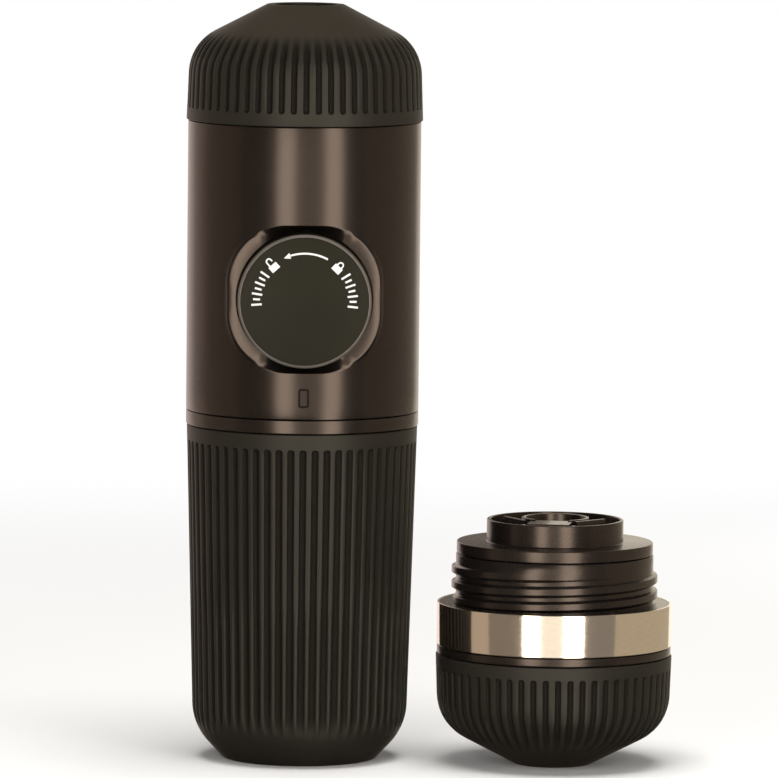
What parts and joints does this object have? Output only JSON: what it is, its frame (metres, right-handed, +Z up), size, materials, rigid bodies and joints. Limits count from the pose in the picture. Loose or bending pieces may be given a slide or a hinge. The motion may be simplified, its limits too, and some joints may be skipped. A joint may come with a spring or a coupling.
{
  "type": "handheld manual espresso maker",
  "caption": "Cylindrical hand-pumped espresso maker: fluted cup over a water tank, pump body with round push knob, domed outlet head, and its threaded capsule adapter.",
  "frame": {"origin": "centre of the cup's flat base, on the surface that the maker stands on", "axes": "+Z up the maker's axis to the nozzle, -Y out through the pump knob, +X to the capsule adapter"},
  "size_m": [0.1298, 0.0716, 0.2004],
  "materials": {
    "soft_touch_black": "satin soft-touch",
    "black_plastic": "fine moulded texture",
    "tank_plastic": "smooth moulded",
    "knob_plastic": "smooth satin",
    "silicone": "matt silicone",
    "steel": "fine circumferential brush",
    "stainless": "satin",
    "spring_steel": "bright drawn wire"
  },
  "bodies": {
    "cup": {"cup": "soft_touch_black"},
    "tank": {"water_tank": "tank_plastic", "tank_collar": "soft_touch_black", "cup_grip_ring": "silicone"},
    "tank_seal": {"tank_seal": "silicone"},
    "main_body": {"tank_neck": "black_plastic", "body_floor": "black_plastic", "intake_filter": "stainless", "vent_valve": "silicone", "body_shell": "soft_touch_black", "index_mark": "black_plastic", "pump_block": "black_plastic", "pump_cylinder": "stainless", "cylinder_end_cap": "black_plastic", "return_spring": "spring_steel", "lock_collar": "black_plastic", "inlet_valve_seat": "black_plastic", "outlet_valve_spring": "spring_steel", "outlet_valve_cap": "black_plastic", "brew_head": "black_plastic", "brew_gasket": "silicone", "shower_screen": "stainless", "shower_screw": "stainless", "chassis_screws": "stainless", "brew_head_screws": "stainless"},
    "plunger": {"piston": "black_plastic", "piston_seal": "silicone", "piston_rod": "stainless", "knob_screw": "stainless"},
    "knob": {"knob": "knob_plastic", "knob_face": "knob_plastic"},
    "inlet_ball": {"inlet_ball": "stainless"},
    "outlet_ball": {"outlet_ball": "stainless"},
    "basket": {"filter_basket": "stainless"},
    "outlet_head": {"outlet_head": "soft_touch_black", "head_neck": "black_plastic", "outlet_funnel": "black_plastic", "nozzle": "black_plastic", "nozzle_seal": "silicone"},
    "adapter_head": {"adapter_head": "soft_touch_black", "adapter_funnel": "black_plastic", "adapter_nozzle": "black_plastic", "adapter_nozzle_seal": "silicone"},
    "capsule_cradle": {"capsule_cradle": "black_plastic", "capsule_seal": "silicone"},
    "adapter_collar": {"adapter_collar": "black_plastic", "adapter_ring": "black_plastic", "adapter_band": "steel"},
    "adapter_insert": {"adapter_top_insert": "black_plastic", "piercing_needles": "stainless"}
  },
  "joints": [
    {"name": "tank_pull", "type": "slide", "parent": "cup", "child": "tank", "axis": [0, 0, 1], "range_m": [0, 0.085]},
    {"name": "body_lift", "type": "slide", "parent": "tank", "child": "tank_seal", "axis": [0, 0, 1], "range_m": [0, 0.01]},
    {"name": "body_unscrew", "type": "hinge", "parent": "tank_seal", "child": "main_body", "pos_m": [0, 0, 0.0875], "axis": [0, 0, 1], "range_deg": [0, 902]},
    {"name": "pump_stroke", "type": "slide", "parent": "main_body", "child": "plunger", "axis": [0, -1, 0], "range_m": [0, 0.012], "deforming": ["return_spring"]},
    {"name": "knob_lock", "type": "hinge", "parent": "plunger", "child": "knob", "pos_m": [0, -0.03, 0.1246], "axis": [0, -1, 0], "range_deg": [0, 60]},
    {"name": "inlet_valve", "type": "slide", "parent": "main_body", "child": "inlet_ball", "axis": [0, 0, 1], "range_m": [0, 0.0015]},
    {"name": "outlet_valve", "type": "slide", "parent": "main_body", "child": "outlet_ball", "axis": [0, 0, 1], "range_m": [0, 0.0015], "deforming": ["outlet_valve_spring"]},
    {"name": "head_lift", "type": "slide", "parent": "main_body", "child": "basket", "axis": [0, 0, 1], "range_m": [0, 0.013]},
    {"name": "head_unscrew", "type": "hinge", "parent": "basket", "child": "outlet_head", "pos_m": [0, 0, 0.165], "axis": [0, 0, 1], "range_deg": [0, 1172]},
    {"name": "adapter_lift", "type": "slide", "parent": "cup", "child": "adapter_head", "axis": [0, 0, 1], "range_m": [0, 0.06]},
    {"name": "adapter_collar_lift", "type": "slide", "parent": "adapter_head", "child": "capsule_cradle", "axis": [0, 0, 1], "range_m": [0, 0.011]},
    {"name": "adapter_unscrew", "type": "hinge", "parent": "capsule_cradle", "child": "adapter_collar", "pos_m": [0.0672, -0.009, 0.03], "axis": [0, 0, 1], "range_deg": [0, 992]},
    {"name": "insert_pull", "type": "slide", "parent": "adapter_collar", "child": "adapter_insert", "axis": [0, 0, 1], "range_m": [0, 0.02]}
  ],
  "couplings": [
    {"joint": "body_unscrew", "follows": "body_lift", "rad_per_m": 1570.8},
    {"joint": "head_unscrew", "follows": "head_lift", "rad_per_m": 1570.8},
    {"joint": "adapter_unscrew", "follows": "adapter_collar_lift", "rad_per_m": 1570.8}
  ]
}
